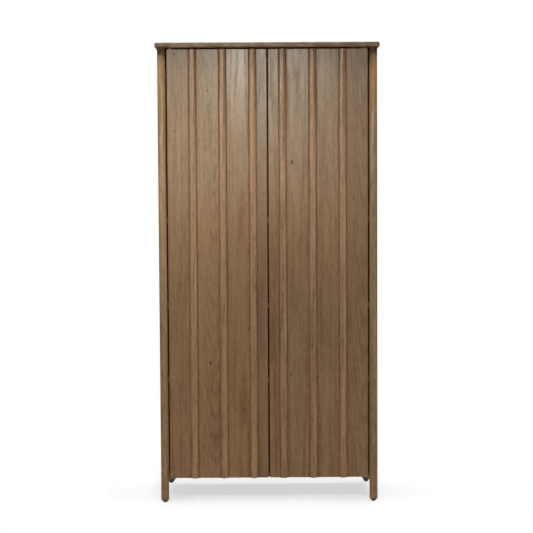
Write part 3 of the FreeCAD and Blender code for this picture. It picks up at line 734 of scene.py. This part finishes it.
def grainy(name, base, other, roughness, grain, **constants):
    """A finish with fine speckle: two close colours, uneven gloss and a fine bump."""
    material = new_material(name)
    tree = material.node_tree
    place = own_place(tree)
    fine = noise(tree, place, grain, SPECKLE_DETAIL)
    broad = noise(tree, place, BROAD_GRAIN)
    mixed = calc(tree, "MULTIPLY_ADD", fine, 0.5, calc(tree, "MULTIPLY", broad, 0.5))
    color = blend(tree, ramp(tree, mixed, *MIX_CUT), base, other)
    rough = calc(tree, "MULTIPLY_ADD", mixed, UNEVEN_ROUGHNESS, roughness - ROUGHNESS_BACK)
    return close_material(material, color, rough, fine, SPECKLE_DEPTH, SPECKLE_STRENGTH, **constants)


def make_finishes():
    """One material for each finish that is not the oak of a board."""
    finishes = {slot: grainy(slot, **look) for slot, look in FINISHES.items()}
    finishes["dowel_wood"] = oak("dowel_wood", **DOWEL_WOOD)
    return finishes


def cover(node, material):
    """Gives a CAD node a better material."""
    mesh = NODES[node].data
    mesh.materials.clear()
    mesh.materials.append(material)


def dress_nodes(finishes):
    """Gives each CAD node that no piece replaces its material."""
    for slot, names in FINISH_NODES.items():
        for name in names:
            cover(name, finishes[slot])
    side_oak = oak("side_oak", **SIDE_OAK)
    for name in both("side_panel"):
        cover(name, side_oak)
    cover("bottom_panel", oak("bottom_oak", **BOTTOM_OAK))
    cover("back_panel", oak("back_oak", **BACK_OAK))


# Pieces

def make_top():
    """The top with its rounded edges and corners."""
    material = oak("top_oak", **TOP_OAK)
    top = slab("top_slab", "top_panel", HEIGHT_AXIS, TOP_CORNER, TOP_EDGE)
    dress(top, "carcass", material, "top_oak", "top_panel")


def post_profile(low, high, radius):
    """Radius and height of a post from its eased foot to its top."""
    across, upwards = [share * POST_EASE for share in POST_FOOT]
    foot = radius - POST_CHAMFER
    shoulder = low + POST_CHAMFER
    profile = [(foot - POST_EASE, low), (foot + across, low + upwards)]
    profile += [(radius - across, shoulder - upwards), (radius, shoulder + POST_EASE)]
    profile += [(radius, shoulder + share * (high - shoulder)) for share in POST_RINGS]
    return profile


def make_posts():
    """The four posts with eased feet."""
    material = oak("post_oak", shade=foot_shade, **POST_OAK)
    for end in ("front", "rear"):
        for side in SIDES:
            node = f"{end}_{side}_post"
            low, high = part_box(node)
            profile = post_profile(low.z, high.z, (high.x - low.x) / 2)
            post = turned(f"{node}_round", (low + high) / 2, profile, POST_SEGMENTS)
            dress(post, "carcass", material, "post_oak", node)


def make_glides(material):
    """One piece with the four glides under the posts."""
    profile = [(GLIDE_RADIUS - inset * GLIDE_EASE, height * GLIDE_EASE) for inset, height in GLIDE_FOOT]
    profile += [(GLIDE_RADIUS, GLIDE_HEIGHT - GLIDE_RIM), (GLIDE_RADIUS - GLIDE_RIM, GLIDE_HEIGHT)]
    pads = []
    for x in (-POST_SPAN[0] / 2, POST_SPAN[0] / 2):
        for y in (-POST_SPAN[1] / 2, POST_SPAN[1] / 2):
            pads.append(turned("glide_pad", (x, y), profile, GLIDE_SEGMENTS))
    dress(joined("glide_pads", pads), "carcass", material, "glide_plastic", "foot_glides")


def rib_ring(centre, back, half, depth, height):
    """One section of a half-round rib: an arc from foot to foot over the door's face."""
    radius = (half * half + depth * depth) / (2 * depth)
    reach = math.asin(half / radius)
    points = []
    for step in range(RIB_STEPS + 1):
        angle = reach * (2 * step / RIB_STEPS - 1)
        across = centre + radius * math.sin(angle)
        points.append((across, back - depth + radius - radius * math.cos(angle), height))
    return points


def make_rib(node, material, body):
    """A half-round rib with eased ends."""
    low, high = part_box(node)
    centre = (low.x + high.x) / 2
    half = (high.x - low.x) / 2
    depth = high.y - low.y
    heights = [(low.z + step * RIB_END_EASE, inset, worn) for step, inset, worn in RIB_ENDS]
    heights += [(high.z - step * RIB_END_EASE, inset, worn) for step, inset, worn in reversed(RIB_ENDS)]
    rings = []
    for height, share, worn in heights:
        inset = share * RIB_END_EASE
        rings.append((rib_ring(centre, high.y, half - inset, depth - inset, height), worn))
    dress(loft(f"{node}_round", rings), body, material, "rib_oak", node)


def make_doors():
    """Both doors with their ribs."""
    rib_oak = oak("rib_oak", shade=rib_foot_shade, **RIB_OAK)
    for side in SIDES:
        body = f"{side}_door"
        panel = f"{side}_door_panel"
        material = oak(f"{side}_door_oak", DOOR_KNOTS[side], door_shade, **DOOR_OAK, **DOOR_BOARDS[side])
        board = slab(f"{side}_door_board", panel, DEPTH_AXIS, DOOR_EDGE, DOOR_EDGE)
        dress(board, body, material, "door_oak", panel)
        for rib in RIB_NAMES:
            make_rib(f"{side}_{rib}_rib", rib_oak, body)


def make_shelves():
    """The three shelves, in oak painted paler as painted light."""
    material = oak("shelf_oak_painted_light", **SHELF_OAK_PAINTED_LIGHT)
    for name in SHELF_NAMES:
        node = f"{name}_shelf"
        board = slab(f"{node}_board", node, HEIGHT_AXIS, SHELF_EDGE, SHELF_EDGE)
        dress(board, "carcass", material, "panel_oak", node)


def wire_ring(middle, outward):
    """A round section of a wire that is wound about the depth axis."""
    points = []
    for index in range(WIRE_SIDES):
        angle = index / WIRE_SIDES * 2 * math.pi
        offset = math.cos(angle) * outward + math.sin(angle) * Vector((0.0, 1.0, 0.0))
        points.append(middle + offset * SPRING_WIRE / 2)
    return points


def make_springs(material):
    """Wire coils in the places of the latch springs, each with its own mesh."""
    for side in SIDES:
        node = f"{side}_latch_spring"
        low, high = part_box(node)
        centre = (low + high) / 2
        radius = (high.x - low.x - SPRING_WIRE) / 2
        length = high.y - low.y
        steps = SPRING_TURNS * SPRING_STEPS
        rings = []
        for step in range(steps + 1):
            angle = step / SPRING_STEPS * 2 * math.pi
            outward = Vector((math.cos(angle), 0.0, math.sin(angle)))
            along = Vector((0.0, (step / steps - 0.5) * (length - SPRING_WIRE), 0.0))
            rings.append((wire_ring(centre + along + radius * outward, outward), 0.0))
        coil = loft(f"{node}_coil", rings)
        dress(coil, "carcass", material, "steel", node)
        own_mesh(coil)


# Stage

WORLD_LIGHT = 0.01
FLOOR_RADIUS = 4.2
FLOOR_SEGMENTS = 96
FLOOR_PAINT = (0.93, 0.93, 0.92, 1.0)
# Share of the white behind the floor that shows through it, and the distances between which it grows to 1
FLOOR_SHEER = 0.62
FLOOR_FADE = (0.45, 1.2)

# Lamps that only show in the gloss
SHEEN = {"matte": False, "color": (0.94, 1.0, 0.92)}
# Lamps: place and target in metres, size in metres, power in watts
LIGHTS = {
    "overhead": {"place": (0.0, 0.25, 4.2), "target": (0.0, 0.0, 0.0),
                 "size": (3.5, 3.0), "power": 250.0, "gloss": False},
    "near": {"place": (-0.25, -1.3, 1.5), "target": (-0.25, -0.2, 1.5),
             "size": (1.4, 0.15), "power": 1.5, "gloss": False, "spread": 66.0, "color": (0.95, 1.0, 0.99)},
    "left": {"place": (-1.3, -1.2, 1.2), "target": (0.0, -0.2, 1.2),
             "size": (0.4, 0.6), "power": 4.3, "gloss": False},
    "low": {"place": (0.0, -3.4, 0.5), "target": (0.0, -0.2, 0.25),
            "size": (3.0, 0.8), "power": 15.0, "gloss": False},
    "key": {"place": (0.0, -3.2, 2.6), "target": (0.0, -0.2, 0.5),
            "size": (0.8, 0.5), "power": 8.0, "gloss": False},
    "floor_key": {"place": (0.0, -3.2, 2.6), "target": (0.0, -0.2, 0.0),
                  "size": (0.5, 0.25), "power": 4.0, "gloss": False, "spread": 40.0},
    "right": {"place": (2.4, -0.6, 1.0), "target": (0.0, -0.2, 0.9),
              "size": (0.6, 1.6), "power": 6.6},
    "sheen_high": {"place": (0.0, -1.9, 3.0), "target": (0.0, -0.2, 1.2),
                   "size": (0.8, 0.6), "power": 22.0, **SHEEN},
    "sheen_middle": {"place": (-0.05, -1.9, 2.1), "target": (0.0, -0.2, 1.2),
                     "size": (0.6, 0.5), "power": 12.2, **SHEEN},
    "sheen_left": {"place": (-1.8, -1.7, 2.0), "target": (0.0, -0.2, 1.4),
                   "size": (0.5, 0.7), "power": 20.0, **SHEEN},
    "sheen_far_left": {"place": (-2.4, -0.6, 1.0), "target": (0.0, -0.2, 0.9),
                       "size": (0.6, 1.6), "power": 4.4, **SHEEN},
    "sheen_right": {"place": (1.8, -1.7, 1.0), "target": (0.0, -0.2, 0.9),
                    "size": (0.5, 1.2), "power": 7.8, **SHEEN},
}


def make_world():
    """White to the camera, nearly dark as a light."""
    world = bpy.data.worlds.new("studio")
    bpy.context.scene.world = world
    world.use_nodes = True
    tree = world.node_tree
    tree.nodes.clear()
    seen = add(tree, "ShaderNodeLightPath").outputs["Is Camera Ray"]
    dim = add(tree, "ShaderNodeBackground", {"Color": WHITE, "Strength": WORLD_LIGHT})
    white = add(tree, "ShaderNodeBackground", {"Color": WHITE, "Strength": 1.0})
    mixed = add(tree, "ShaderNodeMixShader", {0: seen, 1: dim.outputs[0], 2: white.outputs[0]})
    add(tree, "ShaderNodeOutputWorld", {"Surface": mixed.outputs[0]})


def floor_material():
    """A pale paint that looks sheer and fades into the white background, but throws all its light back."""
    material = new_material("pale_floor")
    tree = material.node_tree
    far = ramp(tree, vector(tree, "LENGTH", own_place(tree)), *FLOOR_FADE, FLOOR_SHEER, 1.0)
    seen = add(tree, "ShaderNodeLightPath").outputs["Is Camera Ray"]
    pale = add(tree, "ShaderNodeBsdfDiffuse", {"Color": FLOOR_PAINT})
    clear = add(tree, "ShaderNodeBsdfTransparent")
    sheer = calc(tree, "MULTIPLY", far, seen)
    mixed = add(tree, "ShaderNodeMixShader", {0: sheer, 1: pale.outputs[0], 2: clear.outputs[0]})
    add(tree, "ShaderNodeOutputMaterial", {"Surface": mixed.outputs[0]})
    return material


def make_floor():
    """A disc under the part."""
    shell = bmesh.new()
    bmesh.ops.create_circle(shell, cap_ends=True, radius=FLOOR_RADIUS, segments=FLOOR_SEGMENTS)
    mesh = bpy.data.meshes.new("floor")
    shell.to_mesh(mesh)
    shell.free()
    mesh.materials.append(floor_material())
    floor = bpy.data.objects.new("floor", mesh)
    bpy.context.scene.collection.objects.link(floor)
    floor.visible_glossy = False
    return floor


def softbox(name, place, target, size, power, matte=True, gloss=True, spread=180.0, color=WHITE[:3]):
    """A soft lamp; matte and gloss say whether it lights body colours and shows in the gloss."""
    light = bpy.data.lights.new(name, "AREA")
    light.shape = "RECTANGLE"
    light.size, light.size_y = size
    light.energy = power
    light.color = color
    light.spread = math.radians(spread)
    lamp = bpy.data.objects.new(name, light)
    lamp.location = place
    lamp.rotation_euler = (Vector(target) - Vector(place)).to_track_quat("-Z", "Y").to_euler()
    lamp.visible_diffuse = matte
    lamp.visible_glossy = gloss
    bpy.context.scene.collection.objects.link(lamp)
    return lamp


def light_only(lamp, receiver):
    """Makes a lamp light one object and nothing else."""
    lit = bpy.data.collections.new(f"lit_by_{lamp.name}")
    lit.objects.link(receiver)
    lamp.light_linking.receiver_collection = lit


def make_lights(floor):
    """All lamps; the floor key draws the shadow's front edge on the floor and lights nothing else."""
    lamps = {name: softbox(name, **light) for name, light in LIGHTS.items()}
    light_only(lamps["floor_key"], floor)


def make_camera():
    """The photograph's camera: yaw turns it to the right, pitch tips it down, roll comes last."""
    camera = bpy.data.cameras.new("camera")
    camera.sensor_width = SENSOR_WIDTH
    camera.lens = FOCAL_PIXELS * SENSOR_WIDTH / IMAGE_SIDE
    rig = bpy.data.objects.new("camera", camera)
    turn = Matrix.Rotation(math.radians(-CAMERA_YAW), 4, "Z")
    turn = turn @ Matrix.Rotation(math.radians(90 - CAMERA_PITCH), 4, "X")
    turn = turn @ Matrix.Rotation(math.radians(CAMERA_ROLL), 4, "Z")
    rig.matrix_world = Matrix.Translation(CAMERA_PLACE) @ turn
    bpy.context.scene.collection.objects.link(rig)
    bpy.context.scene.camera = rig


bpy.context.scene.view_settings.view_transform = "Standard"
finishes = make_finishes()
dress_nodes(finishes)
make_top()
make_posts()
make_glides(finishes["glide_plastic"])
make_doors()
make_shelves()
make_springs(finishes["steel"])
make_world()
make_lights(make_floor())
make_camera()
